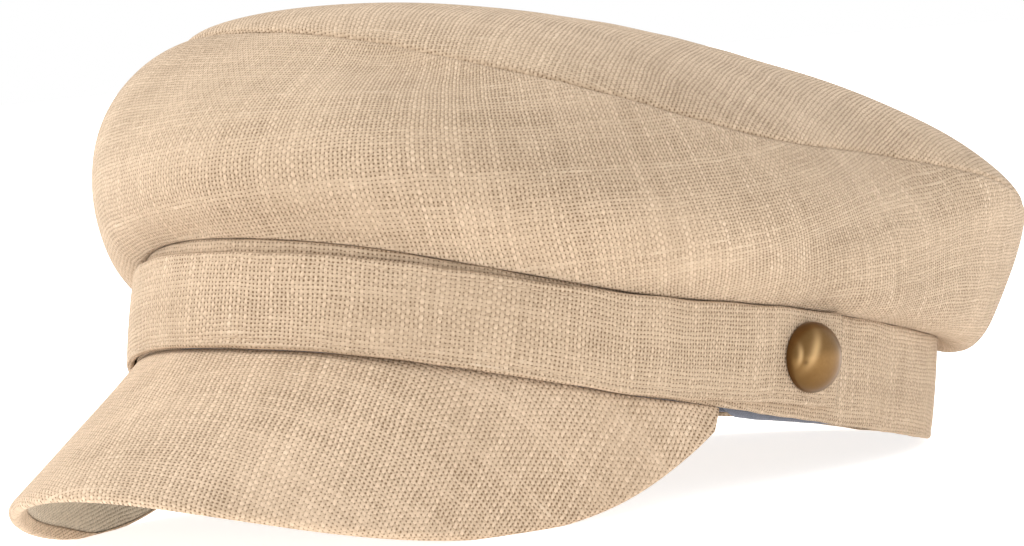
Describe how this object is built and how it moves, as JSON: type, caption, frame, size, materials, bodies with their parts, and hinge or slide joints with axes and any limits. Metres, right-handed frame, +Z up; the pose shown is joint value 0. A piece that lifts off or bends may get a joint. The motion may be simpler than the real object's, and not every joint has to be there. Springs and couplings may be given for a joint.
{
  "type": "breton fisherman cap",
  "caption": "Linen fisherman cap with a soft puffed crown over an upright band, a cloth strap between two domed metal buttons and a short stiff peak.",
  "frame": {"origin": "middle of the cap's outline seen from above, at the level of the surface it rests on", "axes": "+Z up, -Y the way the peak points, +X the wearer's left"},
  "size_m": [0.1788, 0.2926, 0.1175],
  "materials": {
    "linen": "plain woven natural linen, matt",
    "linen_shade": "plain woven natural linen, matt",
    "cotton": "blue-grey cotton twill tape, matt",
    "brass": "antique brass, satin"
  },
  "bodies": {
    "root": {"headband": "linen", "sweatband": "cotton", "strap": "linen", "crown_side": "linen", "crown_top": "linen", "peak_top": "linen", "peak_under": "linen_shade", "button_left": "brass", "button_right": "brass"}
  },
  "joints": []
}
